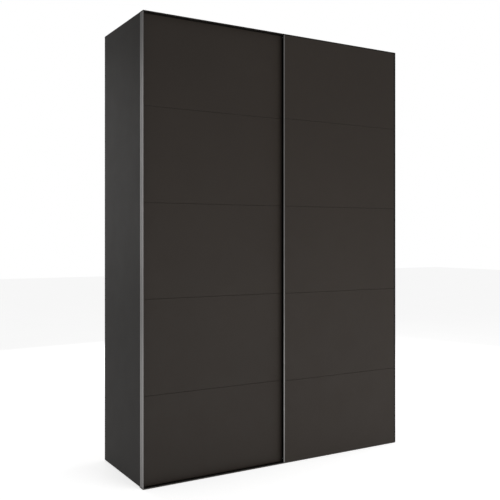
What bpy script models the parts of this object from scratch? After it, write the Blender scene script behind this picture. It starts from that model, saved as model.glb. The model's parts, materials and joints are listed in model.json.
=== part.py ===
"""Wardrobe with two sliding doors.

Metres, +Z up, front towards -Y, origin at the bottom centre of its box.
"""
import math

import bpy
import bmesh

# ---- driving dimensions -------------------------------------------------------------------------
WIDTH = 1.600
HEIGHT = 2.360
DEPTH = 0.590

LEAF_T = 0.020            # depth of a door leaf
LEAF_GAP = 0.008          # between the front and the rear leaf
REAR_CLEARANCE = 0.003    # between the rear leaf and the carcass
FACE_T = 0.008            # thickness of the five fields of a leaf
FIELDS = 5
FIELD_H = 0.481           # from groove to groove
FIELD_FIRST = 0.453       # height of the lowest groove above the floor
FIELD_JOINT = 0.0008      # open joint between two fields
RIGHT_LEAF_X = 0.009      # left edge of the closed right leaf
LEAF_OVERLAP = 0.013      # how far the closed leaves cover each other
GRIP_W = 0.0062           # width of the grip strip on a leaf's left edge
GRIP_T = 0.0035
GRIP_REACH = 0.0034       # how far the grip strip stands over the finger recess behind it
EDGE_W = 0.008            # width of the stile on a leaf's right edge
EDGE_WALL = 0.0015
PROFILE_BEVEL = 0.0004
COVER_T = 0.0026          # thickness of the fixed side cover profiles
COVER_STEP = 0.0008       # set-back of their front part
COVER_FRONT = 0.0250      # where that set-back part ends
LIP_D = 0.0020            # full-width front lip of a side cover
LEAF_END_GAP = 0.0006     # between a leaf and a side cover profile

BOARD_T = 0.018
BACK_T = 0.003
BACK_INSET = 0.0077       # the back panels sit this far inside the rear edge
FLOOR_GAP = 0.003         # side panels and plinths stay clear of the floor
PLINTH_H = 0.062          # underside of the bottom panel
BACK_STRIP_W = 0.030      # joining strip over the seam of the two back panels
SHELF_SETBACK = 0.028     # shelves stop this far behind the carcass front edge
HAT_SHELF_Z = 2.030
LOWER_SHELF_Z = 0.420
RAIL_DROP = 0.055         # rail axis below the hat shelf
RAIL_W, RAIL_H, RAIL_WALL = 0.015, 0.030, 0.0012
BRACKET_WALL = 0.003      # of the cup round the end of a clothes rail
BRACKET_L = 0.012
FLANGE_W, FLANGE_H, FLANGE_T = 0.032, 0.060, 0.003
FOOT_X, FOOT_Y_FRONT, FOOT_Y_REAR = 0.735, -0.190, 0.215
FOOT_R = 0.020            # on the floor
FOOT_RIM = 0.006          # height of the foot's rim
FOOT_CONE = 0.012         # where its cone meets the spindle
SPINDLE_R = 0.007
FOOT_FLANGE_R = 0.016     # under the bottom panel
FOOT_FLANGE_T = 0.008
FOOT_CHAMFER = 0.002

TRACK_T = 0.0052          # thickness of the top track plate
GROOVE_W = 0.0040         # guide grooves in the underside of the top track
GROOVE_D = 0.0038
TAB_T = 0.0032            # guide tabs that run in those grooves
TRACK_BASE = 0.002        # thickness of the bottom track plate
RIDGE_TOP = 0.0046        # running ridges and front lip of the bottom track
RIDGE_T = 0.0025
TRACK_LIP = 0.0015
LEAF_LOW = 0.0056         # lower edge of a leaf
LEAF_HIGH = HEIGHT - TRACK_T - 0.0010     # upper edge

RAIL_PROFILE_WALL = 0.0012
TOP_PROFILE_H = 0.020
BOTTOM_PROFILE_H = 0.029
WHEEL_R = 0.0095          # running radius, in the groove
WHEEL_FLANGE_R = 0.0110
WHEEL_W = 0.0056
WHEEL_GROOVE_W = 0.0034
WHEEL_GROOVE_SLOPE = 0.0004
WHEEL_BORE_R = 0.0023
WHEEL_ROOM = 0.002        # round the wheel in its carriage
AXLE_R = 0.0020
AXLE_END_GAP = 0.0004
CARRIAGE_L = 0.050
CARRIAGE_DROP = 0.0045    # how far a carriage reaches below the axle
CARRIAGE_INSET = 0.070    # carriage and guide centres from the ends of a leaf
GUIDE_L = 0.040
GUIDE_CLEAR = 0.0008      # over the guide's shoulders and over its tab

GAP = 0.0003              # between touching pieces
EDGE_BEVEL = 0.0008

# ---- worked out from them -----------------------------------------------------------------------
HALF_W = WIDTH / 2
FRONT = -DEPTH / 2
REAR = DEPTH / 2
REAR_LEAF_Y = FRONT + LEAF_T + LEAF_GAP
CARCASS_FRONT = REAR_LEAF_Y + LEAF_T + REAR_CLEARANCE
INNER_X = HALF_W - BOARD_T
FLOOR_TOP = PLINTH_H + BOARD_T
CEILING = HEIGHT - BOARD_T
BACK_Y = REAR - BACK_INSET - BACK_T
HARDWARE_Y = FACE_T + GAP               # hardware behind the fields, from the leaf's front
HARDWARE_D = LEAF_T - HARDWARE_Y
TRACK_LINE = HARDWARE_Y + HARDWARE_D / 2
PROFILE_INNER = HARDWARE_D - 2 * RAIL_PROFILE_WALL
WHEEL_Z = RIDGE_TOP + GAP + WHEEL_R
LEAF_END = HALF_W - COVER_T - LEAF_END_GAP

# ---- colours and finishes -----------------------------------------------------------------------
FINISHES = {
    "graphite_board": ((0.042, 0.036, 0.032, 1), 0.45, 0.0),
    "graphite_edge": ((0.020, 0.019, 0.018, 1), 0.5, 0.0),
    "interior_board": ((0.36, 0.34, 0.31, 1), 0.6, 0.0),
    "back_board": ((0.30, 0.285, 0.26, 1), 0.7, 0.0),
    "anodised": ((0.35, 0.34, 0.33, 1), 0.35, 1.0),
    "dark_anodised": ((0.03, 0.028, 0.026, 1), 0.4, 1.0),
    "bright_tube": ((0.7, 0.7, 0.7, 1), 0.15, 1.0),
    "steel": ((0.5, 0.5, 0.5, 1), 0.35, 1.0),
    "black_nylon": ((0.015, 0.015, 0.015, 1), 0.5, 0.0),
}


def clear_scene():
    for obj in list(bpy.data.objects):
        bpy.data.objects.remove(obj, do_unlink=True)


def new_collection(name):
    collection = bpy.data.collections.new(name)
    bpy.context.scene.collection.children.link(collection)
    return collection


def move_to(obj, collection):
    for other in list(obj.users_collection):
        other.objects.unlink(obj)
    collection.objects.link(obj)


def paint(obj, finish):
    colour, roughness, metallic = FINISHES[finish]
    material = bpy.data.materials.new(obj.name + "_" + finish)
    material.use_nodes = True
    shader = material.node_tree.nodes["Principled BSDF"]
    shader.inputs["Base Color"].default_value = colour
    shader.inputs["Roughness"].default_value = roughness
    shader.inputs["Metallic"].default_value = metallic
    obj.data.materials.clear()
    obj.data.materials.append(material)


def block(name, low, high, finish, bevel=EDGE_BEVEL):
    """A board or bar between two corners, with lightly broken edges."""
    centre = [(a + b) / 2 for a, b in zip(low, high)]
    bpy.ops.mesh.primitive_cube_add(size=1, location=centre)
    obj = bpy.context.object
    obj.name = name
    obj.scale = [b - a for a, b in zip(low, high)]
    bpy.ops.object.transform_apply(location=False, rotation=False, scale=True)
    if bevel:
        modifier = obj.modifiers.new("Bevel", "BEVEL")
        modifier.width = bevel
        modifier.segments = 1
    move_to(obj, parts)
    paint(obj, finish)
    return obj


def extrusion(name, outlines, length, location, rotation, finish):
    """Closed outlines in the local XY plane, extruded along local Z about the location."""
    curve = bpy.data.curves.new(name, "CURVE")
    curve.dimensions = "2D"
    curve.fill_mode = "BOTH"
    curve.extrude = length / 2
    for outline in outlines:
        spline = curve.splines.new("POLY")
        spline.points.add(len(outline) - 1)
        for point, (x, y) in zip(spline.points, outline):
            point.co = (x, y, 0, 1)
        spline.use_cyclic_u = True
    obj = bpy.data.objects.new(name, curve)
    obj.location = location
    obj.rotation_euler = rotation
    parts.objects.link(obj)
    paint(obj, finish)
    return obj


ALONG_X = (math.pi / 2, 0, math.pi / 2)     # local X runs along +Y, local Y along +Z, the length along X
ALONG_Z = (0, 0, 0)


def upright(name, outline, corner, high, finish):
    """A vertical profile from its corner (x, y, low) up to high."""
    x, y, low = corner
    extrusion(name, [outline], high - low, (x, y, (low + high) / 2), ALONG_Z, finish)


def oval(half_w, half_h, steps=10):
    """Upright oval: two half circles of radius half_w on a straight middle."""
    straight = half_h - half_w
    points = []
    for end, start in ((straight, 0.0), (-straight, math.pi)):
        for step in range(steps + 1):
            angle = start + math.pi * step / steps
            points.append((half_w * math.cos(angle), end + half_w * math.sin(angle)))
    return points


def turned(name, profile, location, rotation, finish, steps=32):
    """A profile of (radius, height) turned about local Z into a closed solid or ring."""
    mesh = bpy.data.meshes.new(name)
    sketch = bmesh.new()
    verts = [sketch.verts.new((radius, 0, height)) for radius, height in profile]
    closed = profile[0][0] > 0
    for a, b in zip(verts, verts[1:] + (verts[:1] if closed else [])):
        sketch.edges.new((a, b))
    sketch.to_mesh(mesh)
    sketch.free()
    obj = bpy.data.objects.new(name, mesh)
    obj.location = location
    obj.rotation_euler = rotation
    parts.objects.link(obj)
    screw = obj.modifiers.new("Turn", "SCREW")
    screw.steps = steps
    screw.render_steps = steps
    screw.use_merge_vertices = True
    screw.merge_threshold = 0.00001
    paint(obj, finish)
    return obj


def as_mesh(obj):
    """Turn an evaluated curve into a welded mesh object of the same name."""
    bpy.context.view_layer.update()
    depsgraph = bpy.context.evaluated_depsgraph_get()
    mesh = bpy.data.meshes.new_from_object(obj.evaluated_get(depsgraph))
    welded = bmesh.new()
    welded.from_mesh(mesh)
    bmesh.ops.remove_doubles(welded, verts=welded.verts, dist=0.00001)
    welded.to_mesh(mesh)
    welded.free()
    name = obj.name
    matrix = obj.matrix_world.copy()
    bpy.data.objects.remove(obj, do_unlink=True)
    solid = bpy.data.objects.new(name, mesh)
    solid.matrix_world = matrix
    parts.objects.link(solid)
    return solid


def combine(obj, tool, operation):
    """Join a piece with a tool body, or cut it; the tool stays as a hidden guide."""
    move_to(tool, cutters)
    tool.hide_render = True
    tool.display_type = "WIRE"
    modifier = obj.modifiers.new(operation.title(), "BOOLEAN")
    modifier.operation = operation
    modifier.object = tool
    modifier.solver = "EXACT"


# ---- carcass ------------------------------------------------------------------------------------
def build_carcass():
    for side, sign in (("left", -1), ("right", 1)):
        xs = sorted((sign * HALF_W, sign * INNER_X))
        low, high = (xs[0], CARCASS_FRONT, FLOOR_GAP), (xs[1], REAR, HEIGHT)
        block(side + "_side_panel", low, high, "graphite_board")
    inner = INNER_X - GAP
    block("top_panel", (-inner, CARCASS_FRONT, CEILING), (inner, REAR, HEIGHT), "graphite_board")
    block("bottom_panel", (-inner, CARCASS_FRONT, PLINTH_H), (inner, REAR, FLOOR_TOP), "interior_board")
    for name, y in (("front_plinth", CARCASS_FRONT), ("rear_plinth", REAR - 2 * BOARD_T)):
        block(name, (-inner, y, FLOOR_GAP), (inner, y + BOARD_T, PLINTH_H - GAP), "graphite_board")
    low, high = FLOOR_TOP + GAP, CEILING - GAP
    half = BOARD_T / 2
    block("centre_partition", (-half, CARCASS_FRONT, low), (half, BACK_Y - GAP, high), "interior_board")
    block("back_panel_left", (-inner, BACK_Y, low), (-GAP, BACK_Y + BACK_T, high), "back_board", 0)
    block("back_panel_right", (GAP, BACK_Y, low), (inner, BACK_Y + BACK_T, high), "back_board", 0)
    strip, half = BACK_Y + BACK_T + GAP, BACK_STRIP_W / 2
    block("back_joining_strip", (-half, strip, low), (half, strip + BACK_T, high), "graphite_edge",
          PROFILE_BEVEL)


def build_interior():
    for side, sign in (("left", -1), ("right", 1)):
        ends = sorted((sign * (BOARD_T / 2 + GAP), sign * (INNER_X - GAP)))
        for name, z in (("hat_shelf_", HAT_SHELF_Z), ("lower_shelf_", LOWER_SHELF_Z)):
            low = (ends[0], CARCASS_FRONT + SHELF_SETBACK, z)
            block(name + side, low, (ends[1], BACK_Y - GAP, z + BOARD_T), "interior_board")
        build_clothes_rail(side, ends)


def build_clothes_rail(side, ends):
    y = (CARCASS_FRONT + BACK_Y) / 2
    z = HAT_SHELF_Z - RAIL_DROP
    w, h = RAIL_W / 2, RAIL_H / 2
    tube = [oval(w, h), oval(w - RAIL_WALL, h - RAIL_WALL)]
    length = ends[1] - ends[0] - 2 * (FLANGE_T + GAP)
    middle = (ends[0] + ends[1]) / 2
    extrusion("clothes_rail_" + side, tube, length, (middle, y, z), ALONG_X, "bright_tube")
    for end, x, inward in (("left", ends[0], 1), ("right", ends[1], -1)):
        name = "rail_bracket_" + side + "_" + end
        hole_w, hole_h = w + GAP, h + GAP
        outer = oval(hole_w + BRACKET_WALL, hole_h + BRACKET_WALL)
        place = (x + inward * BRACKET_L / 2, y, z)
        cup = extrusion(name, [outer, oval(hole_w, hole_h)], BRACKET_L, place, ALONG_X, "steel")
        cup = as_mesh(cup)
        paint(cup, "steel")
        place = (x + inward * FLANGE_T / 2, y, z)
        plate = [oval(FLANGE_W / 2, FLANGE_H / 2)]
        flange = extrusion(name + "_flange", plate, FLANGE_T, place, ALONG_X, "steel")
        combine(cup, as_mesh(flange), "UNION")


def build_feet():
    top = PLINTH_H - GAP
    under = top - FOOT_FLANGE_T
    profile = [(0, top), (FOOT_FLANGE_R, top), (FOOT_FLANGE_R, under), (SPINDLE_R, under - FOOT_CHAMFER),
               (SPINDLE_R, FOOT_CONE), (FOOT_R - FOOT_CHAMFER / 2, FOOT_RIM), (FOOT_R, 0), (0, 0)]
    for name, x, y in (("front_left", -FOOT_X, FOOT_Y_FRONT), ("front_right", FOOT_X, FOOT_Y_FRONT),
                       ("rear_left", -FOOT_X, FOOT_Y_REAR), ("rear_right", FOOT_X, FOOT_Y_REAR)):
        turned("levelling_foot_" + name, profile, (x, y, 0), (0, 0, 0), "black_nylon")


# ---- tracks and side covers ---------------------------------------------------------------------
def build_tracks():
    back = CARCASS_FRONT - GAP
    lines = [FRONT + TRACK_LINE, REAR_LEAF_Y + TRACK_LINE]
    under = HEIGHT - TRACK_T
    half = GROOVE_W / 2
    top = [(FRONT, HEIGHT), (FRONT, under)]
    for line in lines:
        top += [(line - half, under), (line - half, under + GROOVE_D), (line + half, under + GROOVE_D),
                (line + half, under)]
    top += [(back, under), (back, HEIGHT)]
    extrusion("top_track", [top], WIDTH, (0, 0, 0), ALONG_X, "dark_anodised")

    half = RIDGE_T / 2
    bottom = [(FRONT, 0), (back, 0), (back, TRACK_BASE)]
    for line in reversed(lines):
        bottom += [(line + half, TRACK_BASE), (line + half, RIDGE_TOP), (line - half, RIDGE_TOP),
                   (line - half, TRACK_BASE)]
    bottom += [(FRONT + TRACK_LIP, TRACK_BASE), (FRONT + TRACK_LIP, RIDGE_TOP), (FRONT, RIDGE_TOP)]
    extrusion("bottom_track", [bottom], WIDTH, (0, 0, 0), ALONG_X, "dark_anodised")


def build_side_covers():
    """Fixed profiles that close the door zone at both sides, from track to track."""
    low, high = RIDGE_TOP + GAP, HEIGHT - TRACK_T - GAP
    depth = CARCASS_FRONT - GAP - FRONT
    section = [(0, 0), (COVER_T, 0), (COVER_T, depth), (0, depth), (0, COVER_FRONT), (COVER_STEP, COVER_FRONT),
               (COVER_STEP, LIP_D), (0, LIP_D)]
    upright("left_side_cover", section, (-HALF_W, FRONT, low), high, "anodised")
    mirrored = [(COVER_T - u, v) for u, v in reversed(section)]
    upright("right_side_cover", mirrored, (HALF_W - COVER_T, FRONT, low), high, "dark_anodised")


# ---- door leaves --------------------------------------------------------------------------------
def build_leaf(side, x_left, x_right, y_front):
    name = side + "_door_"
    y_back = y_front + LEAF_T
    x_grip = x_left + GRIP_W
    y_grip = y_front + GRIP_T
    low, high = (x_left, y_front, LEAF_LOW), (x_grip, y_grip, LEAF_HIGH)
    block(name + "grip_strip", low, high, "anodised", PROFILE_BEVEL)
    low, high = (x_left + GRIP_REACH, y_grip + GAP, LEAF_LOW), (x_grip, y_back, LEAF_HIGH)
    block(name + "grip_stile", low, high, "dark_anodised", PROFILE_BEVEL)
    e, d, wall = EDGE_W, LEAF_T, EDGE_WALL
    edge = [(0, 0), (e, 0), (e, d), (0, d), (0, d - wall), (e - wall, d - wall), (e - wall, FACE_T + wall),
            (0, FACE_T + wall)]
    upright(name + "edge_stile", edge, (x_right - e, y_front, LEAF_LOW), LEAF_HIGH, "dark_anodised")

    inner_left, inner_right = x_grip + GAP, x_right - EDGE_W - GAP
    joints = [FIELD_FIRST + i * FIELD_H for i in range(FIELDS - 1)]
    levels = [LEAF_LOW - FIELD_JOINT / 2] + joints + [LEAF_HIGH + FIELD_JOINT / 2]
    for i, (low, high) in enumerate(zip(levels, levels[1:])):
        block(name + "panel_%d" % (i + 1), (inner_left, y_front, low + FIELD_JOINT / 2),
              (inner_right, y_front + FACE_T, high - FIELD_JOINT / 2), "graphite_board")
    build_leaf_rails(side, inner_left, inner_right, y_front + HARDWARE_Y)
    build_running_gear(side, x_left, x_right, y_front + TRACK_LINE)


def build_leaf_rails(side, x0, x1, y):
    wall, d, h = RAIL_PROFILE_WALL, HARDWARE_D, TOP_PROFILE_H
    channel = [(0, 0), (d, 0), (d, h), (d - wall, h), (d - wall, wall), (wall, wall), (wall, h), (0, h)]
    middle, length = (x0 + x1) / 2, x1 - x0
    name = side + "_door_top_profile"
    extrusion(name, [channel], length, (middle, y, LEAF_HIGH - h), ALONG_X, "anodised")
    h = BOTTOM_PROFILE_H
    channel = [(0, 0), (wall, 0), (wall, h - wall), (d - wall, h - wall), (d - wall, 0), (d, 0), (d, h),
               (0, h)]
    name = side + "_door_bottom_profile"
    extrusion(name, [channel], length, (middle, y, LEAF_LOW), ALONG_X, "anodised")


def build_running_gear(side, x_left, x_right, line):
    ends = (("left", x_left + CARRIAGE_INSET), ("right", x_right - CARRIAGE_INSET))
    for end, x in ends:
        build_wheel(side + "_door_wheel_" + end, x, line)
        build_carriage(side + "_door_wheel_carriage_" + end, x, line)
        build_guide(side + "_door_guide_" + end, x, line)


def build_wheel(name, x, line):
    w, g = WHEEL_W / 2, WHEEL_GROOVE_W / 2
    lip = g + WHEEL_GROOVE_SLOPE
    profile = [(WHEEL_BORE_R, w), (WHEEL_FLANGE_R, w), (WHEEL_FLANGE_R, lip), (WHEEL_R, g),
               (WHEEL_R, -g), (WHEEL_FLANGE_R, -lip), (WHEEL_FLANGE_R, -w), (WHEEL_BORE_R, -w)]
    turned(name, profile, (x, line, WHEEL_Z), (math.pi / 2, 0, 0), "black_nylon")


def build_carriage(name, x, line):
    half_w = PROFILE_INNER / 2 - GAP
    low, high = WHEEL_Z - CARRIAGE_DROP, LEAF_LOW + BOTTOM_PROFILE_H - RAIL_PROFILE_WALL - GAP
    half_l = CARRIAGE_L / 2
    body = block(name, (x - half_l, line - half_w, low), (x + half_l, line + half_w, high), "steel", 0)
    half_w_slot = WHEEL_W / 2 + GAP
    reach = WHEEL_FLANGE_R + WHEEL_ROOM
    slot_low = (x - reach, line - half_w_slot, WHEEL_Z - reach)
    slot_high = (x + reach, line + half_w_slot, WHEEL_Z + reach)
    combine(body, block(name + "_slot", slot_low, slot_high, "steel", 0), "DIFFERENCE")
    bpy.ops.mesh.primitive_cylinder_add(vertices=24, radius=AXLE_R, depth=2 * (half_w - AXLE_END_GAP),
                                        location=(x, line, WHEEL_Z), rotation=(math.pi / 2, 0, 0))
    pin = bpy.context.object
    pin.name = name + "_axle"
    combine(body, pin, "UNION")


def build_guide(name, x, line):
    """A shoe in the top profile whose tab stands up into the groove of the top track."""
    half_w = PROFILE_INNER / 2 - GAP
    tab = TAB_T / 2
    base = LEAF_HIGH - TOP_PROFILE_H + RAIL_PROFILE_WALL + GAP
    shoulder = LEAF_HIGH - GUIDE_CLEAR
    top = HEIGHT - TRACK_T + GROOVE_D - GUIDE_CLEAR
    outline = [(-half_w, base), (half_w, base), (half_w, shoulder), (tab, shoulder), (tab, top),
               (-tab, top), (-tab, shoulder), (-half_w, shoulder)]
    extrusion(name, [outline], GUIDE_L, (x, line, 0), ALONG_X, "black_nylon")


clear_scene()
parts = new_collection("sliding_wardrobe")
cutters = new_collection("cutters")
build_carcass()
build_interior()
build_feet()
build_tracks()
build_side_covers()
build_leaf("left", -LEAF_END, RIGHT_LEAF_X + LEAF_OVERLAP, REAR_LEAF_Y)
build_leaf("right", RIGHT_LEAF_X, LEAF_END, FRONT)
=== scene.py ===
"""Looks of the two-leaf sliding-door wardrobe: detailed pieces, materials, light and camera, in metres."""
import json
import math
import random

import bmesh
import bpy
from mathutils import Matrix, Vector


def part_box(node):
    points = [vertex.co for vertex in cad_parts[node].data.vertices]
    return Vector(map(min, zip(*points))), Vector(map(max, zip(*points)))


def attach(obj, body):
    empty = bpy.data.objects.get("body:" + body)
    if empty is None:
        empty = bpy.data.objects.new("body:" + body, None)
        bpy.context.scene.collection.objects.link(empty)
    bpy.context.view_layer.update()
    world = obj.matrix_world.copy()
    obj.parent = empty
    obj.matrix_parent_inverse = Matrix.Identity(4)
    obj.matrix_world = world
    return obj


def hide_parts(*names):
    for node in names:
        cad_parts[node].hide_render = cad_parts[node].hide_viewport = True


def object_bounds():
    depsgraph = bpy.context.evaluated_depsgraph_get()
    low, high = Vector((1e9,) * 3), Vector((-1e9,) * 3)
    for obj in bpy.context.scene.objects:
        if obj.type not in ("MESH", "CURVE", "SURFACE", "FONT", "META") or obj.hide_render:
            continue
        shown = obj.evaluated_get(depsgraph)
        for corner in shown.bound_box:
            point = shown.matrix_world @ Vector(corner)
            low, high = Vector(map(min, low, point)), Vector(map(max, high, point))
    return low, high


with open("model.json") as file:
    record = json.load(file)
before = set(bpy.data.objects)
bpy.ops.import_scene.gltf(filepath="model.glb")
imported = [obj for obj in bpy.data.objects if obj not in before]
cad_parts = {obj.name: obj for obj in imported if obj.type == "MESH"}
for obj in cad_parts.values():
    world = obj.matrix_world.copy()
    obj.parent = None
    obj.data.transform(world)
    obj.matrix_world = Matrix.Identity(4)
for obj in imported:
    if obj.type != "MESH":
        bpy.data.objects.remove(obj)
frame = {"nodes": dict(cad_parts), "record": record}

CAD_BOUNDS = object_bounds()
LOW, HIGH = CAD_BOUNDS
random.seed(7)

CARCASS = "carcass"
DOORS = ("left_door", "right_door")


def low(node):
    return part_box(node)[0]


def high(node):
    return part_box(node)[1]


# ---- material building blocks ---------------------------------------------------------------------
class Look:
    """A node material around one Principled shader, with short ways to add texture nodes."""

    def __init__(self, name, roughness, metallic=0.0, specular=0.5, coat=0.0, coat_roughness=0.2):
        self.material = bpy.data.materials.new(name)
        self.material.use_nodes = True
        tree = self.material.node_tree
        self.nodes, self.links = tree.nodes, tree.links
        self.shader = self.nodes["Principled BSDF"]
        self.shader.inputs["Roughness"].default_value = roughness
        self.shader.inputs["Metallic"].default_value = metallic
        self.shader.inputs["Specular IOR Level"].default_value = specular
        self.shader.inputs["Coat Weight"].default_value = coat
        self.shader.inputs["Coat Roughness"].default_value = coat_roughness
        self.place = self.nodes.new("ShaderNodeTexCoord").outputs["Object"]

    def stretched(self, scale, rotation=(0, 0, 0)):
        mapping = self.nodes.new("ShaderNodeMapping")
        mapping.inputs["Scale"].default_value = scale
        mapping.inputs["Rotation"].default_value = rotation
        self.links.new(self.place, mapping.inputs["Vector"])
        return mapping.outputs["Vector"]

    def noise(self, scale, detail=4.0, roughness=0.5, vector=None):
        node = self.nodes.new("ShaderNodeTexNoise")
        node.inputs["Scale"].default_value = scale
        node.inputs["Detail"].default_value = detail
        node.inputs["Roughness"].default_value = roughness
        self.links.new(vector or self.place, node.inputs["Vector"])
        return node.outputs["Fac"]

    def spread(self, value, to_low, to_high, from_low=0.3, from_high=0.7):
        node = self.nodes.new("ShaderNodeMapRange")
        for socket, number in (("From Min", from_low), ("From Max", from_high), ("To Min", to_low),
                               ("To Max", to_high)):
            node.inputs[socket].default_value = number
        self.links.new(value, node.inputs["Value"])
        return node.outputs["Result"]

    def maths(self, operation, a, b):
        node = self.nodes.new("ShaderNodeMath")
        node.operation = operation
        for socket, value in zip(node.inputs, (a, b)):
            if isinstance(value, (int, float)):
                socket.default_value = value
            else:
                self.links.new(value, socket)
        return node.outputs["Value"]

    def blend_colours(self, factor, first, second):
        node = self.nodes.new("ShaderNodeMix")
        node.data_type = "RGBA"
        sockets = {s.identifier: s for s in node.inputs}
        for key, value in (("A_Color", first), ("B_Color", second)):
            if isinstance(value, tuple):
                sockets[key].default_value = (*value, 1.0)
            else:
                self.links.new(value, sockets[key])
        if isinstance(factor, (int, float)):
            sockets["Factor_Float"].default_value = factor
        else:
            self.links.new(factor, sockets["Factor_Float"])
        return next(s for s in node.outputs if s.identifier == "Result_Color")

    def facing(self, axis):
        """The part of the surface normal along one axis of the object."""
        node = self.nodes.new("ShaderNodeSeparateXYZ")
        self.links.new(self.nodes.new("ShaderNodeTexCoord").outputs["Normal"], node.inputs["Vector"])
        return node.outputs[axis]

    def threads(self, first, second):
        """Two crossing sets of fine threads, each a noise stretched by its own scale."""
        crossing = [self.noise(1.0, 3.0, 0.6, self.stretched(scale)) for scale in (first, second)]
        return self.maths("MULTIPLY", self.maths("ADD", *crossing), 0.5)

    def weave(self):
        """A linen weave that keeps its scale on upright and on level faces."""
        fine, coarse = 900.0, 40.0
        upright = self.threads((fine, fine, coarse), (coarse, coarse, fine))
        level = self.threads((fine, coarse, coarse), (coarse, fine, coarse))
        flat = self.maths("GREATER_THAN", self.maths("ABSOLUTE", self.facing("Z"), 0.0), 0.5)
        difference = self.maths("SUBTRACT", level, upright)
        return self.maths("ADD", upright, self.maths("MULTIPLY", flat, difference))

    def colour(self, output):
        self.links.new(output, self.shader.inputs["Base Color"])

    def roughness(self, output):
        self.links.new(output, self.shader.inputs["Roughness"])

    def bump(self, *layers):
        """Stacks bump layers given as (height output, strength, distance in metres)."""
        normal = None
        for height, strength, distance in layers:
            node = self.nodes.new("ShaderNodeBump")
            node.inputs["Strength"].default_value = strength
            node.inputs["Distance"].default_value = distance
            self.links.new(height, node.inputs["Height"])
            if normal is not None:
                self.links.new(normal, node.inputs["Normal"])
            normal = node.outputs["Normal"]
        self.links.new(normal, self.shader.inputs["Normal"])


def tones(colour, spread):
    return tuple(c * (1 - spread) for c in colour), tuple(c * (1 + spread) for c in colour)


FLECK_LIFT = 1.9            # how much paler the flecks in the graphite decor are


def graphite(name, colour, roughness, specular=0.5):
    """Super-matt graphite decor: a warm near-black with a very fine pressed texture."""
    look = Look(name, roughness, specular=specular)
    cloud = look.spread(look.noise(2.2, 3.0), 0.0, 1.0)
    speckle = look.spread(look.noise(1400.0, 2.0), 0.0, 1.0)
    dark, light = tones(colour, 0.05)
    base = look.blend_colours(cloud, dark, light)
    flecks = tuple(FLECK_LIFT * c for c in colour)
    look.colour(look.blend_colours(look.maths("MULTIPLY", speckle, 0.10), base, flecks))
    handling = look.noise(9.0, 5.0, 0.6)
    look.roughness(look.spread(handling, roughness - 0.03, roughness + 0.04))
    look.bump((look.noise(900.0, 3.0), 0.10, 0.00006), (look.noise(160.0, 2.0), 0.05, 0.00010))
    return look.material


def anodised(name, colour, roughness):
    """Satin anodised aluminium, drawn lengthwise."""
    look = Look(name, roughness, metallic=1.0)
    drawn = look.noise(1.0, 6.0, 0.65, look.stretched((2200.0, 2200.0, 5.0)))
    dark, light = tones(colour, 0.10)
    look.colour(look.blend_colours(look.spread(drawn, 0.0, 1.0), dark, light))
    look.roughness(look.spread(drawn, roughness - 0.05, roughness + 0.07))
    look.bump((drawn, 0.12, 0.00004))
    return look.material


def drawn_along_x(name, colour, roughness):
    look = Look(name, roughness, metallic=1.0)
    drawn = look.noise(1.0, 6.0, 0.65, look.stretched((5.0, 2200.0, 2200.0)))
    dark, light = tones(colour, 0.12)
    look.colour(look.blend_colours(look.spread(drawn, 0.0, 1.0), dark, light))
    look.roughness(look.spread(drawn, roughness - 0.05, roughness + 0.08))
    look.bump((drawn, 0.12, 0.00004))
    return look.material


def linen(name, colour):
    """Interior decor: a printed linen weave under a light emboss."""
    look = Look(name, 0.55, specular=0.4)
    weave = look.weave()
    dark, light = tones(colour, 0.16)
    look.colour(look.blend_colours(look.spread(weave, 0.0, 1.0, 0.38, 0.62), dark, light))
    look.roughness(look.spread(weave, 0.48, 0.64, 0.38, 0.62))
    look.bump((weave, 0.20, 0.00012))
    return look.material


def two_sided(name, axis, sign, outside, inside):
    """A board with graphite decor outside and linen decor on the face that looks along sign * axis."""
    look = Look(name, 0.6, specular=0.15)
    inner = look.maths("GREATER_THAN", look.maths("MULTIPLY", look.facing(axis), sign), 0.5)
    cloud = look.spread(look.noise(2.2, 3.0), 0.0, 1.0)
    dark, light = tones(outside, 0.05)
    weave = look.weave()
    pale, white = tones(inside, 0.16)
    woven = look.blend_colours(look.spread(weave, 0.0, 1.0, 0.38, 0.62), pale, white)
    look.colour(look.blend_colours(inner, look.blend_colours(cloud, dark, light), woven))
    look.roughness(look.spread(look.noise(9.0, 5.0, 0.6), 0.59, 0.63))
    woven_relief = look.maths("MULTIPLY", weave, inner)
    look.bump((woven_relief, 0.20, 0.00012), (look.noise(900.0, 3.0), 0.10, 0.00006))
    return look.material


def back_board(name, inside, outside):
    """Thin fibreboard: printed on the side that faces the room, raw brown behind."""
    look = Look(name, 0.65, specular=0.3)
    fibres = look.noise(260.0, 8.0, 0.7)
    flecks = look.spread(look.noise(1.0, 4.0, 0.6, look.stretched((90.0, 90.0, 600.0))), 0.0, 1.0, 0.4, 0.7)
    dark, light = tones(outside, 0.22)
    raw = look.blend_colours(look.spread(fibres, 0.0, 1.0), dark, light)
    raw = look.blend_colours(look.maths("MULTIPLY", flecks, 0.3), raw, tuple(0.6 * c for c in outside))
    weave = look.noise(1.0, 3.0, 0.6, look.stretched((700.0, 700.0, 60.0)))
    dark, light = tones(inside, 0.10)
    printed = look.blend_colours(look.spread(weave, 0.0, 1.0), dark, light)
    behind = look.maths("GREATER_THAN", look.facing("Y"), 0.5)
    look.colour(look.blend_colours(behind, printed, raw))
    look.roughness(look.spread(fibres, 0.55, 0.8))
    look.bump((fibres, 0.25, 0.00015))
    return look.material


def nylon(name, colour, roughness=0.5):
    look = Look(name, roughness, specular=0.45)
    grain = look.noise(700.0, 3.0)
    dark, light = tones(colour, 0.15)
    look.colour(look.blend_colours(look.spread(look.noise(60.0), 0.0, 1.0), dark, light))
    look.roughness(look.spread(grain, roughness - 0.08, roughness + 0.10))
    look.bump((grain, 0.25, 0.00008))
    return look.material


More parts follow.
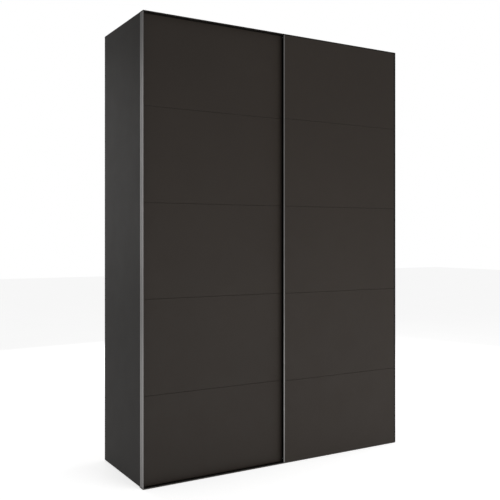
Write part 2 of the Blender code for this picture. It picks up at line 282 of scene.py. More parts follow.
def plated(name, colour, roughness):
    """Plated steel with fine handling marks."""
    look = Look(name, roughness, metallic=1.0)
    smear = look.noise(45.0, 6.0, 0.6)
    dark, light = tones(colour, 0.06)
    look.colour(look.blend_colours(look.spread(smear, 0.0, 1.0), dark, light))
    look.roughness(look.spread(smear, max(0.03, roughness - 0.05), roughness + 0.09))
    look.bump((look.noise(900.0, 2.0), 0.06, 0.00003))
    return look.material


def pile(name):
    look = Look(name, 0.9, specular=0.2)
    tuft = look.noise(1.0, 3.0, 0.6, look.stretched((300.0, 300.0, 2600.0)))
    look.colour(look.blend_colours(look.spread(tuft, 0.0, 1.0), (0.004, 0.004, 0.004), (0.03, 0.03, 0.03)))
    look.roughness(look.spread(tuft, 0.8, 1.0))
    look.bump((tuft, 0.6, 0.0003))
    return look.material


GRAPHITE = (0.0186, 0.0141, 0.0107)
SIDE_GRAPHITE = (0.0203, 0.0182, 0.0163)
LINEN = (0.30, 0.275, 0.25)
FRONT_LOOK = graphite("graphite_front", GRAPHITE, 0.58, 0.38)
BODY_LOOK = graphite("graphite_body", SIDE_GRAPHITE, 0.60, 0.20)
EDGE_LOOK = graphite("graphite_edge_band", (0.0120, 0.0110, 0.0100), 0.45, 0.4)
LINEN_LOOK = linen("linen_decor", LINEN)
LEFT_SIDE_LOOK = two_sided("left_side_board", "X", 1, SIDE_GRAPHITE, LINEN)
RIGHT_SIDE_LOOK = two_sided("right_side_board", "X", -1, SIDE_GRAPHITE, LINEN)
TOP_LOOK = two_sided("top_board", "Z", -1, SIDE_GRAPHITE, LINEN)
BACK_LOOK = back_board("back_board", (0.27, 0.25, 0.228), (0.20, 0.115, 0.062))
PROFILE_LOOK = anodised("anodised_profile", (0.31, 0.303, 0.296), 0.36)
COVER_LOOK = anodised("anodised_cover", (0.24, 0.233, 0.229), 0.36)
RAIL_LOOK = drawn_along_x("anodised_rail", (0.40, 0.39, 0.385), 0.36)
DARK_PROFILE_LOOK = anodised("dark_anodised_profile", (0.035, 0.033, 0.031), 0.38)
# Near-black: partly the stile's own black anodising, partly painted shade, so that the lit left face of the
# right leaf's stile reads as the dark shadowed seam between the leaves.
BLACK_STILE_AND_PAINTED_SHADE_LOOK = anodised("black_anodised_stile_and_painted_shade", (0.006, 0.006, 0.006), 0.5)
TRACK_LOOK = drawn_along_x("dark_anodised_track", (0.060, 0.054, 0.050), 0.42)
# The bottom track is paler than the top track: its colour is lifted as painted light, to offset the shade
# that falls on it in front of the set-back left leaf.
FLOOR_TRACK_PAINTED_LIGHT_LOOK = drawn_along_x("anodised_floor_track_painted_light", (0.14, 0.132, 0.125), 0.42)
TUBE_LOOK = plated("plated_tube", (0.75, 0.75, 0.76), 0.12)
STEEL_LOOK = plated("zinc_steel", (0.52, 0.52, 0.50), 0.34)
NYLON_LOOK = nylon("black_nylon", (0.018, 0.018, 0.018))
RUBBER_LOOK = nylon("black_rubber", (0.010, 0.010, 0.010), 0.7)
PILE_LOOK = pile("brush_pile")

SLOT_LOOKS = {
    "graphite_board": BODY_LOOK, "graphite_edge": EDGE_LOOK, "interior_board": LINEN_LOOK,
    "back_board": BACK_LOOK, "anodised": PROFILE_LOOK, "dark_anodised": DARK_PROFILE_LOOK,
    "bright_tube": TUBE_LOOK, "steel": STEEL_LOOK, "black_nylon": NYLON_LOOK,
}
NODE_LOOKS = {
    "top_track": TRACK_LOOK, "bottom_track": FLOOR_TRACK_PAINTED_LIGHT_LOOK, "top_panel": TOP_LOOK,
    "left_side_panel": LEFT_SIDE_LOOK, "right_side_panel": RIGHT_SIDE_LOOK,
}
for leaf in DOORS:
    NODE_LOOKS[leaf + "_top_profile"] = RAIL_LOOK
    NODE_LOOKS[leaf + "_bottom_profile"] = RAIL_LOOK
    NODE_LOOKS[leaf + "_grip_stile"] = BLACK_STILE_AND_PAINTED_SHADE_LOOK


def dress_cad_nodes():
    slots = {part["node"]: part["material_slot"] for part in frame["record"]["subparts"]}
    for node, obj in frame["nodes"].items():
        look = NODE_LOOKS.get(node) or SLOT_LOOKS[slots[node]]
        obj.data.materials.clear()
        obj.data.materials.append(look)


# ---- mesh building blocks -------------------------------------------------------------------------
def shade(obj, smooth_angle):
    """Smooth shading with sharp edges kept, and normals weighted so that flat faces stay flat."""
    obj.data.shade_smooth()
    obj.data.set_sharp_from_angle(angle=math.radians(smooth_angle))
    weighted = obj.modifiers.new("Normals", "WEIGHTED_NORMAL")
    weighted.keep_sharp = True


def piece(name, sketch, look, body, smooth_angle=35.0):
    mesh = bpy.data.meshes.new(name)
    bmesh.ops.recalc_face_normals(sketch, faces=sketch.faces)
    sketch.to_mesh(mesh)
    sketch.free()
    mesh.materials.append(look)
    obj = bpy.data.objects.new(name, mesh)
    bpy.context.scene.collection.objects.link(obj)
    shade(obj, smooth_angle)
    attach(obj, body)
    return obj


def add_box(sketch, corner, opposite, bevel=0.0, segments=2):
    made = bmesh.ops.create_cube(sketch, size=1.0)
    for vert in made["verts"]:
        for axis in range(3):
            middle = (corner[axis] + opposite[axis]) / 2
            vert.co[axis] = middle + vert.co[axis] * (opposite[axis] - corner[axis])
    if bevel:
        edges = list({edge for vert in made["verts"] for edge in vert.link_edges})
        bmesh.ops.bevel(sketch, geom=edges, offset=bevel, segments=segments, profile=0.5, affect="EDGES")


def soft_box(name, corner, opposite, bevel, look, body, segments=3):
    sketch = bmesh.new()
    add_box(sketch, corner, opposite, bevel, segments)
    return piece(name, sketch, look, body, 60.0)


def swept(name, outline, start, end, axis, fillet, look, body, segments=3):
    """A closed outline in the two axes other than axis, swept from start to end, corners rounded."""
    sketch = bmesh.new()
    others = [i for i in range(3) if i != axis]
    verts = []
    for u, v in outline:
        place = [0.0, 0.0, 0.0]
        place[others[0]], place[others[1]], place[axis] = u, v, start
        verts.append(sketch.verts.new(place))
    face = sketch.faces.new(verts)
    made = bmesh.ops.extrude_face_region(sketch, geom=[face])
    for element in made["geom"]:
        if isinstance(element, bmesh.types.BMVert):
            element.co[axis] = end
    if fillet:
        long_edges = [e for e in sketch.edges if abs(e.verts[0].co[axis] - e.verts[1].co[axis]) > 1e-6]
        bmesh.ops.bevel(sketch, geom=long_edges, offset=fillet, segments=segments, profile=0.5,
                        affect="EDGES")
    return piece(name, sketch, look, body, 40.0)


def lathe(sketch, profile, centre, axis, steps=32):
    """Adds a solid of revolution: profile is (distance along axis, radius) from end to end."""
    others = [i for i in range(3) if i != axis]
    rings = []
    for along, radius in profile:
        ring = []
        for step in range(steps if radius > 0 else 1):
            angle = 2 * math.pi * step / steps
            place = list(centre)
            place[axis] += along
            place[others[0]] += radius * math.cos(angle)
            place[others[1]] += radius * math.sin(angle)
            ring.append(sketch.verts.new(place))
        rings.append(ring)
    for first, second in zip(rings, rings[1:]):
        for step in range(steps):
            a, b = first[step % len(first)], first[(step + 1) % len(first)]
            c, d = second[(step + 1) % len(second)], second[step % len(second)]
            corners = []
            for vert in (a, b, c, d):
                if vert not in corners:
                    corners.append(vert)
            if len(corners) > 2:
                sketch.faces.new(corners)


SCREW_R = 0.0035
SCREW_SUNK = 0.0012         # how far a screw head reaches into its board


def add_screw(sketch, centre, axis, sign, radius=SCREW_R):
    """A countersunk screw head with a cross recess, its face looking along sign * axis."""
    rim = 0.0004
    profile = [(-sign * SCREW_SUNK, 0.0), (-sign * SCREW_SUNK, radius * 0.6), (0.0, radius),
               (sign * rim, radius * 0.97), (sign * rim * 1.25, radius * 0.62),
               (sign * rim * 0.2, radius * 0.5), (sign * rim * 0.2, 0.0)]
    lathe(sketch, profile, centre, axis, 16)
    others = [i for i in range(3) if i != axis]
    for bar in range(2):
        corner, opposite = list(centre), list(centre)
        for i, other in enumerate(others):
            half = radius * (0.48 if i == bar else 0.13)
            corner[other] -= half
            opposite[other] += half
        ends = sorted((centre[axis], centre[axis] + sign * rim * 0.9))
        corner[axis], opposite[axis] = ends
        add_box(sketch, corner, opposite, radius * 0.05, 1)


def screws(name, places, axis, sign, body, radius=SCREW_R, look=None):
    sketch = bmesh.new()
    for place in places:
        add_screw(sketch, place, axis, sign, radius)
    return piece(name, sketch, look or STEEL_LOOK, body, 40.0)


# ---- door leaves ----------------------------------------------------------------------------------
FIELDS = 5                  # in each leaf, from the bottom up
FIELD_ROUNDING = 0.0011
JOINT_STRIP_H = 0.024
JOINT_STRIP_T = 0.0022
BATTEN_W = 0.030
BATTEN_SCREWS = 9           # in each foot of a batten
BATTEN_SCREW_INSET = 0.03


def door_fields(body):
    """Five rounded fields, with the joining strips that back the grooves."""
    for number in range(1, FIELDS + 1):
        node = body + "_panel_%d" % number
        fine = soft_box(body + "_field_%d" % number, low(node), high(node), FIELD_ROUNDING, FRONT_LOOK,
                        body)
        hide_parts(node)
    for number in range(1, FIELDS):
        node = body + "_panel_%d" % number
        x0, x1, back, z = low(node)[0], high(node)[0], high(node)[1], high(node)[2]
        soft_box(body + "_joining_strip_%d" % number, (x0 + 0.001, back + 0.0001, z - JOINT_STRIP_H / 2),
                 (x1 - 0.001, back + JOINT_STRIP_T, z + JOINT_STRIP_H / 2), 0.0005, DARK_PROFILE_LOOK, body)


def door_battens(body):
    """Two hat-section stiffeners up the back of the leaf, from the bottom to the top profile."""
    stile, edge = body + "_grip_stile", body + "_edge_stile"
    y0 = high(body + "_panel_1")[1] + JOINT_STRIP_T + 0.0002
    y1 = high(stile)[1] - 0.0015
    z0 = high(body + "_bottom_profile")[2] + 0.002
    z1 = low(body + "_top_profile")[2] - 0.002
    x_left, x_right = high(stile)[0], low(edge)[0]
    wall, foot = 0.0016, 0.007
    for number, share in ((1, 1 / 3), (2, 2 / 3)):
        x = x_left + share * (x_right - x_left)
        a, b = x - BATTEN_W / 2, x + BATTEN_W / 2
        outline = [(a, y0), (a + foot + wall, y0), (a + foot + wall, y1 - wall),
                   (b - foot - wall, y1 - wall), (b - foot - wall, y0), (b, y0), (b, y0 + wall),
                   (b - foot, y0 + wall), (b - foot, y1), (a + foot, y1), (a + foot, y0 + wall),
                   (a, y0 + wall)]
        swept(body + "_batten_%d" % number, outline, z0, z1, 2, 0.0004, PROFILE_LOOK, body, 2)
        span = z1 - z0 - 2 * BATTEN_SCREW_INSET
        places = [(side, y0 + wall, z0 + BATTEN_SCREW_INSET + i * span / (BATTEN_SCREWS - 1))
                  for i in range(BATTEN_SCREWS) for side in (a + foot / 2, b - foot / 2)]
        screws(body + "_batten_screws_%d" % number, places, 1, 1, body, 0.0024)


def door_grip(body):
    """The grip strip with rounded edges and a fine reed line, in place of the plain one."""
    node = body + "_grip_strip"
    (x0, y0, z0), (x1, y1, z1) = low(node), high(node)
    line, depth = x0 + 0.0042, 0.0004
    outline = [(x0, y0 + 0.0004), (x0 + 0.0006, y0), (line, y0), (line + 0.0002, y0 + depth),
               (line + 0.0008, y0 + depth), (line + 0.0010, y0), (x1, y0), (x1, y1), (x0, y1)]
    fine = swept(body + "_grip_trim", outline, z0, z1, 2, 0.00015, PROFILE_LOOK, body, 2)
    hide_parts(node)


def door_corner_screws(body):
    """Screws that hold the stiles to the top and bottom profile, seen on the back of the leaf."""
    stile, edge = body + "_grip_stile", body + "_edge_stile"
    back = high(stile)[1]
    places = []
    for z in (low(body + "_bottom_profile")[2] + 0.018, high(body + "_top_profile")[2] - 0.010):
        places += [(high(stile)[0] - 0.0026, back, z), (low(edge)[0] + 0.004, back, z)]
    screws(body + "_corner_screws", places, 1, 1, body, 0.0020)


def wheel(body, end):
    """A grooved nylon wheel with a steel bearing: rounded flanges, hub rings and an inner race."""
    node = body + "_wheel_" + end
    (x0, y0, z0), (x1, y1, z1) = low(node), high(node)
    centre = ((x0 + x1) / 2, (y0 + y1) / 2, (z0 + z1) / 2)
    flange, half = (x1 - x0) / 2, (y1 - y0) / 2
    tread, seat, bore = flange - 0.0015, 0.0062, 0.0023
    sketch = bmesh.new()
    profile = [(-half * 0.7, seat), (-half, seat + 0.0005), (-half, flange - 0.0007),
               (-half * 0.88, flange - 0.0001), (-half * 0.78, flange - 0.0002),
               (-half * 0.55, tread + 0.0003), (0.0, tread),
               (half * 0.55, tread + 0.0003), (half * 0.78, flange - 0.0002),
               (half * 0.88, flange - 0.0001),
               (half, flange - 0.0007), (half, seat + 0.0005), (half * 0.7, seat), (-half * 0.7, seat)]
    lathe(sketch, profile, centre, 1, 48)
    bmesh.ops.remove_doubles(sketch, verts=sketch.verts, dist=1e-6)
    tyre = piece(node + "_tyre", sketch, NYLON_LOOK, node, 50.0)
    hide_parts(node)
    sketch = bmesh.new()
    profile = [(-half * 0.8, bore), (-half * 0.8, 0.0036), (-half * 0.6, 0.0038), (-half * 0.6, 0.0050),
               (-half * 0.8, 0.0052), (-half * 0.8, seat - 0.0001), (half * 0.8, seat - 0.0001),
               (half * 0.8, 0.0052), (half * 0.6, 0.0050), (half * 0.6, 0.0038), (half * 0.8, 0.0036),
               (half * 0.8, bore), (-half * 0.8, bore)]
    lathe(sketch, profile, centre, 1, 32)
    bmesh.ops.remove_doubles(sketch, verts=sketch.verts, dist=1e-6)
    piece(node + "_bearing", sketch, STEEL_LOOK, node, 40.0)


PILE_STEP = 0.0016


def brush_seal():
    """A metal carrier on the back of the right leaf, with rows of black pile towards the left leaf."""
    stile = "right_door_grip_stile"
    x = high(stile)[0] - 0.0016
    y0, y1 = high(stile)[1], low("left_door_panel_1")[1]
    z0, z1 = low(stile)[2] + 0.004, high(stile)[2] - 0.004
    half, lip, web = 0.0018, 0.0011, 0.0008
    foot, top = y0 + 0.0002, y0 + 0.0022
    carrier = [(x - half, foot), (x + half, foot), (x + half, top), (x + lip, top), (x + lip, y0 + web),
               (x - lip, y0 + web), (x - lip, top), (x - half, top)]
    swept("brush_carrier", carrier, z0, z1, 2, 0.00015, BLACK_STILE_AND_PAINTED_SHADE_LOOK, "right_door", 1)
    sketch = bmesh.new()
    count = int((z1 - z0) / PILE_STEP)
    for row in range(3):
        for i in range(count):
            z = z0 + (i + 0.5 + random.uniform(-0.25, 0.25)) * PILE_STEP
            lean = random.uniform(-0.0009, 0.0009)
            tip_y = y1 - 0.0004 - random.uniform(0.0, 0.0009)
            root_x = x + (row - 1) * 0.0006
            half = 0.00035
            roots = [sketch.verts.new((root_x + dx, y0 + 0.0011, z + dz))
                     for dx, dz in ((-half, -half), (half, -half), (0.0, half))]
            tip = sketch.verts.new((root_x + lean * 0.6, tip_y, z + lean))
            sketch.faces.new(roots)
            for a, b in ((0, 1), (1, 2), (2, 0)):
                sketch.faces.new((roots[a], roots[b], tip))
    piece("brush_pile", sketch, PILE_LOOK, "right_door")


# ---- carcass --------------------------------------------------------------------------------------
PIN_R = 0.0025
HOLE_R = 0.00255
HOLE_DEPTH = 0.011
HOLE_PITCH = 0.032
HOLE_ROW_INSET = 0.037
HOLES_FROM, HOLES_TO = 0.52, 1.90


def hole_rows():
    shelf = "hat_shelf_left"
    return low(shelf)[1] + HOLE_ROW_INSET, high(shelf)[1] - HOLE_ROW_INSET


def hole_heights(start, end):
    count = int((end - start) / HOLE_PITCH)
    return [start + i * HOLE_PITCH for i in range(count + 1)]


def drilled_board(name, node, faces, look):
    """A board with rounded edges and rows of shelf-pin holes bored into faces (x, inward sign)."""
    sketch = bmesh.new()
    add_box(sketch, low(node), high(node), 0.0009, 2)
    board = piece(name, sketch, look, CARCASS, 60.0)
    bores = bmesh.new()
    for x, inward in faces:
        for y in hole_rows():
            for z in hole_heights(HOLES_FROM, HOLES_TO):
                bore = [(-inward * 0.002, 0.0), (-inward * 0.002, HOLE_R), (inward * HOLE_DEPTH, HOLE_R),
                        (inward * HOLE_DEPTH, 0.0)]
                lathe(bores, bore, (x, y, z), 0, 16)
    bmesh.ops.recalc_face_normals(bores, faces=bores.faces)
    mesh = bpy.data.meshes.new(name + "_bores")
    bores.to_mesh(mesh)
    bores.free()
    cutter = bpy.data.objects.new(name + "_bores", mesh)
    bpy.context.scene.collection.objects.link(cutter)
    cut = board.modifiers.new("Bores", "BOOLEAN")
    cut.operation = "DIFFERENCE"
    cut.object = cutter
    cut.solver = "EXACT"
    bpy.context.view_layer.update()
    evaluated = board.evaluated_get(bpy.context.evaluated_depsgraph_get())
    board.data = bpy.data.meshes.new_from_object(evaluated)
    board.modifiers.clear()
    shade(board, 60.0)
    bpy.data.objects.remove(cutter, do_unlink=True)
    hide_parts(node)
    return board


def shelf_pins(shelf):
    """Four steel pins under a shelf, each with a collar against the board it is pushed into."""
    sketch = bmesh.new()
    (x0, _, z), (x1, _, _) = low(shelf), high(shelf)
    for x, sign in ((x0, 1), (x1, -1)):
        for y in hole_rows():
            lathe(sketch, [(-sign * 0.0002, 0.0), (-sign * 0.0002, 0.0045), (sign * 0.0012, 0.0045),
                           (sign * 0.0014, PIN_R), (sign * 0.0085, PIN_R), (sign * 0.0095, PIN_R * 0.7),
                           (sign * 0.0095, 0.0)], (x, y, z - 0.0046), 0, 20)
    piece(shelf + "_pins", sketch, STEEL_LOOK, CARCASS, 40.0)


def shelf_edge(shelf):
    """A rounded edge band along the front of a shelf."""
    (x0, y0, z0), (x1, _, z1) = low(shelf), high(shelf)
    outline = [(y0 - 0.0012, z0), (y0 + 0.0002, z0), (y0 + 0.0002, z1), (y0 - 0.0012, z1)]
    swept(shelf + "_edge_band", outline, x0, x1, 0, 0.0005, EDGE_LOOK, CARCASS)


def back_screws():
    """Rows of small screws that hold the back panels to the boards, seen from behind."""
    y = high("back_panel_left")[1]
    z0, z1 = low("back_panel_left")[2] + 0.009, high("back_panel_left")[2] - 0.009
    x_side = high("back_panel_right")[0] - 0.009
    shelf_z = [(low(s)[2] + high(s)[2]) / 2 for s in ("lower_shelf_left", "hat_shelf_left")]
    places = []
    steps = 12
    for i in range(steps + 1):
        z = z0 + 0.03 + i * (z1 - z0 - 0.06) / steps
        places += [(-x_side, y, z), (x_side, y, z)]
    for i in range(9):
        x = 0.06 + i * (x_side - 0.12) / 8
        places += [(side * x, y, z) for side in (-1, 1) for z in (z0, z1, *shelf_z)]
    screws("back_panel_screws", places, 1, 1, CARCASS, 0.0030)


def corner_brackets():
    """Steel angle brackets between the side panels and the top panel, at the rear."""
    under, back = low("top_panel")[2], low("back_panel_left")[1]
    arm, wide, thick, rounding = 0.030, 0.016, 0.002, 0.0005
    for side, x in (("left", high("left_side_panel")[0]), ("right", low("right_side_panel")[0])):
        sign = 1 if side == "left" else -1
        for spot, y in (("rear", back - 0.060), ("front", low("top_panel")[1] + 0.060)):
            outline = [(x, under - arm), (x + sign * thick, under - arm), (x + sign * thick, under - thick),
                       (x + sign * arm, under - thick), (x + sign * arm, under), (x, under)]
            name = "corner_bracket_%s_%s" % (side, spot)
            swept(name, outline, y - wide / 2, y + wide / 2, 1, rounding, STEEL_LOOK, CARCASS, 2)
            screws(name + "_side_screw", [(x + sign * thick, y, under - 0.020)], 0, sign, CARCASS, 0.0032)
            screws(name + "_top_screw", [(x + sign * 0.020, y, under - thick)], 2, -1, CARCASS, 0.0032)


FOOT_RIBS = 12
FOOT_RIB = 0.0012           # half the width of a rib


def levelling_foot(node):
    """A moulded foot: ribbed base, threaded spindle, hexagon and a screw flange under the bottom panel."""
    (x0, y0, z0), (x1, y1, z1) = low(node), high(node)
    centre = ((x0 + x1) / 2, (y0 + y1) / 2, 0.0)
    radius = (x1 - x0) / 2
    profile = [(z0, 0.0), (z0, radius - 0.0012), (z0 + 0.0012, radius), (z0 + 0.0035, radius),
               (z0 + 0.0050, radius - 0.0015), (z0 + 0.0080, radius * 0.55), (z0 + 0.0095, 0.0075)]
    thread_low, thread_high, turns = z0 + 0.011, z1 - 0.012, 18
    pitch = (thread_high - thread_low) / turns
    for turn in range(turns):
        z = thread_low + turn * pitch
        profile += [(z, 0.0056), (z + pitch * 0.35, 0.0068), (z + pitch * 0.6, 0.0068)]
    profile += [(z1 - 0.0115, 0.0056), (z1 - 0.010, 0.011), (z1 - 0.0045, 0.0115), (z1 - 0.0040, 0.0155),
                (z1 - 0.0006, 0.0160), (z1, 0.0155), (z1, 0.0)]
    sketch = bmesh.new()
    lathe(sketch, profile, centre, 2, 36)
    for rib in range(FOOT_RIBS):
        angle = 2 * math.pi * rib / FOOT_RIBS
        x = centre[0] + radius * 0.72 * math.cos(angle)
        y = centre[1] + radius * 0.72 * math.sin(angle)
        add_box(sketch, (x - FOOT_RIB, y - FOOT_RIB, z0 + 0.003), (x + FOOT_RIB, y + FOOT_RIB, z0 + 0.0085),
                0.0004, 1)
    foot = piece(node + "_moulded", sketch, NYLON_LOOK, CARCASS, 40.0)
    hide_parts(node)


def clothes_rail(side):
    """The oval tube with fine wall ends, and the screws of its two brackets."""
    node = "clothes_rail_" + side
    (x0, y0, z0), (x1, y1, z1) = low(node), high(node)
    y, z = (y0 + y1) / 2, (z0 + z1) / 2
    half_w, half_h, wall = (y1 - y0) / 2, (z1 - z0) / 2, 0.0012
    sketch = bmesh.new()
    rings = []
    steps = 24
    for x, inset in ((x0, 0.0), (x1, 0.0), (x1, wall), (x0, wall)):
        ring = []
        w, h = half_w - inset, half_h - inset
        for end, start in ((h - w, 0.0), (w - h, math.pi)):
            for step in range(steps + 1):
                angle = start + math.pi * step / steps
                ring.append(sketch.verts.new((x, y + w * math.cos(angle), z + end + w * math.sin(angle))))
        rings.append(ring)
    for first, second in zip(rings, rings[1:] + rings[:1]):
        for i in range(len(first)):
            j = (i + 1) % len(first)
            sketch.faces.new((first[i], first[j], second[j], second[i]))
    tube = piece(node + "_tube", sketch, TUBE_LOOK, CARCASS, 40.0)
    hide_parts(node)
    for end, sign in (("left", 1), ("right", -1)):
        bracket = "rail_bracket_%s_%s" % (side, end)
        plate = low(bracket)[0] if end == "left" else high(bracket)[0]
        face = plate + sign * 0.003
        places = [(face, y + dy, z + dz) for dy, dz in ((0.0, -0.0245), (0.0, 0.0245))]
        screws(bracket + "_screws", places, 0, sign, CARCASS, 0.0028)


CAM_R = 0.0085
CAM_INSET_X = 0.034
CAM_INSET_Y = 0.070


def cam_covers(name, ends, ys, z, sign, look):
    """Domed caps over the cam locks near both ends of a board, on the face that looks along sign * Z."""
    sketch = bmesh.new()
    for x in (ends[0] + CAM_INSET_X, ends[1] - CAM_INSET_X):
        for y in ys:
            lathe(sketch, [(-sign * 0.0004, 0.0), (-sign * 0.0004, CAM_R - 0.001), (0.0, CAM_R),
                           (sign * 0.0005, CAM_R - 0.0003), (sign * 0.0009, CAM_R - 0.0016),
                           (sign * 0.0011, CAM_R * 0.5), (sign * 0.0011, 0.0)], (x, y, z), 2, 24)
    piece(name, sketch, look, CARCASS, 50.0)


def cam_locks():
    front, back = low("top_panel")[1] + CAM_INSET_Y, low("back_panel_left")[1] - CAM_INSET_Y
    half = high("centre_partition")[0]
    inner = high("top_panel")[0]
    for side, ends in (("left", (-inner, -half)), ("right", (half, inner))):
        cam_covers("top_cam_covers_" + side, ends, (front, back), low("top_panel")[2], -1, LINEN_LOOK)
        cam_covers("bottom_cam_covers_" + side, ends, (front, back), high("bottom_panel")[2], 1, LINEN_LOOK)
        under = low("lower_shelf_" + side)
        cam_covers("shelf_cam_covers_" + side, ends, (under[1] + CAM_INSET_Y, back), under[2], -1,
                   LINEN_LOOK)


FINE_EDGE = 0.0010


def fine_boards():
    """The plain boards with finely rounded edges, in place of their CAD blocks."""
    boards = {"top_panel": (TOP_LOOK, "graphite_board"), "bottom_panel": (LINEN_LOOK, "interior_board"),
              "front_plinth": (BODY_LOOK, "graphite_board"), "rear_plinth": (BODY_LOOK, "graphite_board"),
              "back_joining_strip": (EDGE_LOOK, "graphite_edge")}
    for side in ("left", "right"):
        for shelf in ("hat_shelf_", "lower_shelf_"):
            boards[shelf + side] = (LINEN_LOOK, "interior_board")
    for node, (look, slot) in boards.items():
        board = soft_box(node + "_board", low(node), high(node), FINE_EDGE, look, CARCASS)
        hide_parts(node)


def edge_bands():
    """Dark bands on the front edges of the upright boards and of the bottom panel."""
    for node in ("left_side_panel", "right_side_panel", "centre_partition"):
        (x0, y0, z0), (x1, _, z1) = low(node), high(node)
        outline = [(x0, y0 - 0.0002), (x1, y0 - 0.0002), (x1, y0 + 0.0010), (x0, y0 + 0.0010)]
        swept(node + "_edge_band", outline, z0, z1, 2, 0.0003, EDGE_LOOK, CARCASS)
    (x0, y0, z0), (x1, _, z1) = low("bottom_panel"), high("bottom_panel")
    outline = [(y0 - 0.0002, z0), (y0 + 0.0010, z0), (y0 + 0.0010, z1), (y0 - 0.0002, z1)]
    swept("bottom_panel_edge_band", outline, x0, x1, 0, 0.0003, EDGE_LOOK, CARCASS)


def track_screws():
    """Countersunk screws along both tracks."""
    x1 = HIGH[0] - 0.05
    count = 7
    xs = [-x1 + i * 2 * x1 / (count - 1) for i in range(count)]
    top = "top_track"
    places = [(x, (low(top)[1] + high(top)[1]) / 2 + 0.004, high(top)[2] - 0.0006) for x in xs]
    screws("top_track_screws", places, 2, 1, CARCASS, 0.0034, DARK_PROFILE_LOOK)
    bottom = "bottom_track"
    between = (high("right_door_panel_1")[1] + low("left_door_panel_1")[1]) / 2 + 0.0045
    places = [(x, between, low(bottom)[2] + 0.0021) for x in xs]
    screws("bottom_track_screws", places, 2, 1, CARCASS, 0.0034, DARK_PROFILE_LOOK)


COVER_STEP = 0.0008         # set-back of the front of a side cover
COVER_FRONT = 0.025
COVER_BRIGHT = 0.040        # depth of the anodised part; a dark sealing strip closes the rest


def left_cover():
    """The anodised profile down the left edge of the front, and the dark strip behind it."""
    node = "left_side_cover"
    (x0, y0, z0), (x1, y1, z1) = low(node), high(node)
    stepped, turn, seam = x0 + COVER_STEP, y0 + COVER_FRONT, y0 + COVER_BRIGHT
    outline = [(stepped, y0), (x1, y0), (x1, seam), (x0, seam), (x0, turn), (stepped, turn)]
    profile = swept("left_cover_profile", outline, z0, z1, 2, 0.0003, COVER_LOOK, CARCASS, 2)
    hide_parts(node)
    outline = [(x0 + 0.0003, seam + 0.0001), (x1, seam + 0.0001), (x1, y1), (x0 + 0.0003, y1)]
    swept("left_cover_seal", outline, z0, z1, 2, 0.0003, BODY_LOOK, CARCASS, 2)


SEAL_INSET, SEAL_W = 0.003, 0.009   # floor seals: from the plinth's front, and width at the plinth
SEAL_FLARE = 0.001          # each side of the floor seals leans in by this towards the floor
SEAL_CLEAR = 0.0005         # between the seals and the floor


def plinth_seals():
    """Soft black strips that close the slit between the plinths and the floor."""
    for plinth in ("front_plinth", "rear_plinth"):
        (x0, y0, z0), x1 = low(plinth), high(plinth)[0]
        front, back = y0 + SEAL_INSET, y0 + SEAL_INSET + SEAL_W
        outline = [(front, z0), (front + SEAL_FLARE, SEAL_CLEAR), (back - SEAL_FLARE, SEAL_CLEAR),
                   (back, z0)]
        swept(plinth + "_seal", outline, x0 + 0.001, x1 - 0.001, 0, 0.0004, RUBBER_LOOK, CARCASS)


def carcass_details():
    left, right, middle = "left_side_panel", "right_side_panel", "centre_partition"
    drilled_board("left_side_board", left, [(high(left)[0], -1)], LEFT_SIDE_LOOK)
    drilled_board("right_side_board", right, [(low(right)[0], 1)], RIGHT_SIDE_LOOK)
    drilled_board("partition_board", middle, [(low(middle)[0], 1), (high(middle)[0], -1)], LINEN_LOOK)
    for side in ("left", "right"):
        for shelf in ("hat_shelf_" + side, "lower_shelf_" + side):
            shelf_pins(shelf)
            shelf_edge(shelf)
        clothes_rail(side)
    for spot in ("front_left", "front_right", "rear_left", "rear_right"):
        levelling_foot("levelling_foot_" + spot)
    fine_boards()
    edge_bands()
    left_cover()
    back_screws()
    corner_brackets()
    cam_locks()
    track_screws()
    plinth_seals()


dress_cad_nodes()
for leaf in DOORS:
    door_fields(leaf)
    door_battens(leaf)
    door_grip(leaf)
    door_corner_screws(leaf)
    for wheel_end in ("left", "right"):
        wheel(leaf, wheel_end)
brush_seal()
carcass_details()


# ---- floor, light and camera ----------------------------------------------------------------------
AMBIENT = 0.34
FLOOR_GLOW = 0.36           # lights the object like a pale studio floor
FLOOR_SEEN_GLOW = 0.26      # added where the camera sees the floor itself


def build_floor():
    bpy.ops.mesh.primitive_plane_add(size=40.0, location=(0, 0, LOW[2]))
    floor = bpy.context.object
    floor.name = "studio_floor"
    look = Look("studio_floor", 0.8, specular=0.0)
    cloud = look.spread(look.noise(1.5), 0.0, 1.0)
    look.colour(look.blend_colours(cloud, (0.90, 0.90, 0.90), (0.92, 0.92, 0.92)))
    look.shader.inputs["Emission Color"].default_value = (1, 1, 1, 1)
    seen = look.nodes.new("ShaderNodeLightPath").outputs["Is Camera Ray"]
    glow = look.maths("ADD", look.maths("MULTIPLY", seen, FLOOR_SEEN_GLOW), FLOOR_GLOW)
    look.links.new(glow, look.shader.inputs["Emission Strength"])
    floor.data.materials.append(look.material)


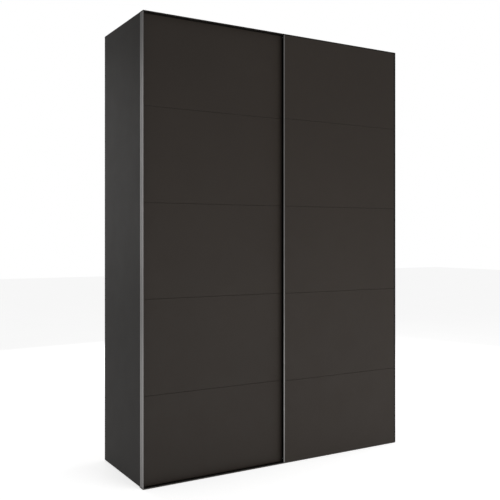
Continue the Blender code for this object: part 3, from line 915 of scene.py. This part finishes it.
def build_world():
    world = bpy.data.worlds.new("studio")
    bpy.context.scene.world = world
    world.use_nodes = True
    nodes, links = world.node_tree.nodes, world.node_tree.links
    background = nodes["Background"]
    seen = nodes.new("ShaderNodeBackground")
    seen.inputs["Color"].default_value = (1, 1, 1, 1)
    seen.inputs["Strength"].default_value = 1.0
    background.inputs["Color"].default_value = (1, 1, 1, 1)
    background.inputs["Strength"].default_value = AMBIENT
    mix = nodes.new("ShaderNodeMixShader")
    links.new(nodes.new("ShaderNodeLightPath").outputs["Is Camera Ray"], mix.inputs["Fac"])
    links.new(background.outputs[0], mix.inputs[1])
    links.new(seen.outputs[0], mix.inputs[2])
    links.new(mix.outputs[0], nodes["World Output"].inputs["Surface"])


def softbox(name, place, target, size, power, mirrored=True):
    light = bpy.data.lights.new(name, "AREA")
    light.shape = "RECTANGLE"
    light.size, light.size_y = size
    light.energy = power
    obj = bpy.data.objects.new(name, light)
    obj.location = place
    direction = [t - p for t, p in zip(target, place)]
    obj.rotation_euler = Vector(direction).to_track_quat("-Z", "Y").to_euler()
    obj.visible_camera = False
    obj.visible_glossy = mirrored
    bpy.context.scene.collection.objects.link(obj)
    return obj


def build_camera():
    camera = bpy.data.cameras.new("photo_camera")
    camera.sensor_width = 36.0
    camera.lens = 54.09
    camera.shift_x = -0.100
    camera.shift_y = -0.0243
    obj = bpy.data.objects.new("photo_camera", camera)
    obj.location = (-2.1374, -3.8195, 1.2392)
    obj.rotation_euler = (math.radians(90), 0, math.radians(-32.576))
    bpy.context.scene.collection.objects.link(obj)
    bpy.context.scene.camera = obj


build_floor()
build_world()
softbox("front", (1.1, -3.3, 0.95), (0.6, 0, 1.00), (2.6, 1.0), 70, mirrored=False)
softbox("side", (-5.2, 0.4, 1.5), (-0.8, 0, 1.3), (2.8, 3.4), 13)
softbox("right", (4.4, 0.9, 1.8), (0.8, 0.1, 1.2), (2.4, 3.0), 34)
softbox("back", (-0.4, 4.6, 2.0), (0.0, 0.3, 1.2), (3.4, 2.4), 60)
build_camera()
bpy.context.scene.view_settings.view_transform = "Standard"
